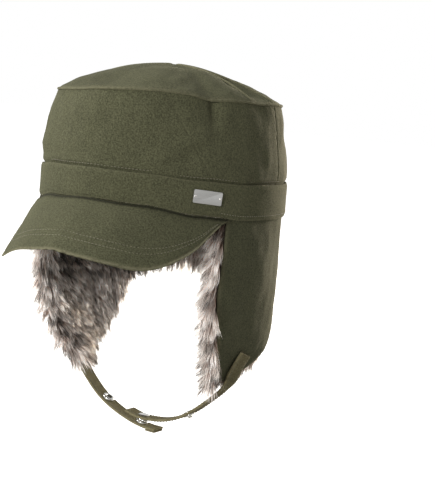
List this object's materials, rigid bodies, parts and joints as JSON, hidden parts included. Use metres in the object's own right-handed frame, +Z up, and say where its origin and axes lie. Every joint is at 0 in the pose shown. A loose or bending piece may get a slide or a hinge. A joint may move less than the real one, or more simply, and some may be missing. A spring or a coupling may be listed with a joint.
{
  "type": "earflap cap",
  "caption": "Soft field cap of olive wool-blend cloth with a curved visor, fur-lined ear flaps and neck flap worn down, and a snap-fastened chin strap",
  "frame": {"origin": "middle of the head opening, level with the lower edge of the band at the ears", "axes": "+Z up along the wearer's head; the cap faces -Y; the wearer's left is +X"},
  "size_m": [0.186, 0.2635, 0.29],
  "materials": {
    "wool_cloth": "matt brushed wool-blend twill, olive green, sewn with matching thread",
    "fur_pile": "soft deep pile, brown-grey at the root and silver at the tips",
    "strap_cloth": "folded strap of the same olive cloth, edge-stitched",
    "snap_metal": "bright nickel",
    "plate_metal": "brushed silver-coloured metal, blank"
  },
  "bodies": {
    "root": {"crown_top": "wool_cloth", "crown_front": "wool_cloth", "crown_side_left": "wool_cloth", "crown_side_right": "wool_cloth", "crown_back": "wool_cloth", "band": "wool_cloth", "visor": "wool_cloth", "flap_curtain": "wool_cloth", "fur_left": "fur_pile", "fur_right": "fur_pile", "fur_neck": "fur_pile", "strap_left": "strap_cloth", "strap_right": "strap_cloth", "snap_socket_open": "snap_metal", "snap_cap_open": "snap_metal", "snap_socket_closed": "snap_metal", "snap_cap_closed": "snap_metal", "snap_stud_closed": "snap_metal", "snap_cap_inner": "snap_metal", "snap_stud_free": "snap_metal", "snap_cap_free": "snap_metal", "name_plate": "plate_metal", "plate_pin_front": "plate_metal", "plate_pin_rear": "plate_metal"}
  },
  "joints": []
}
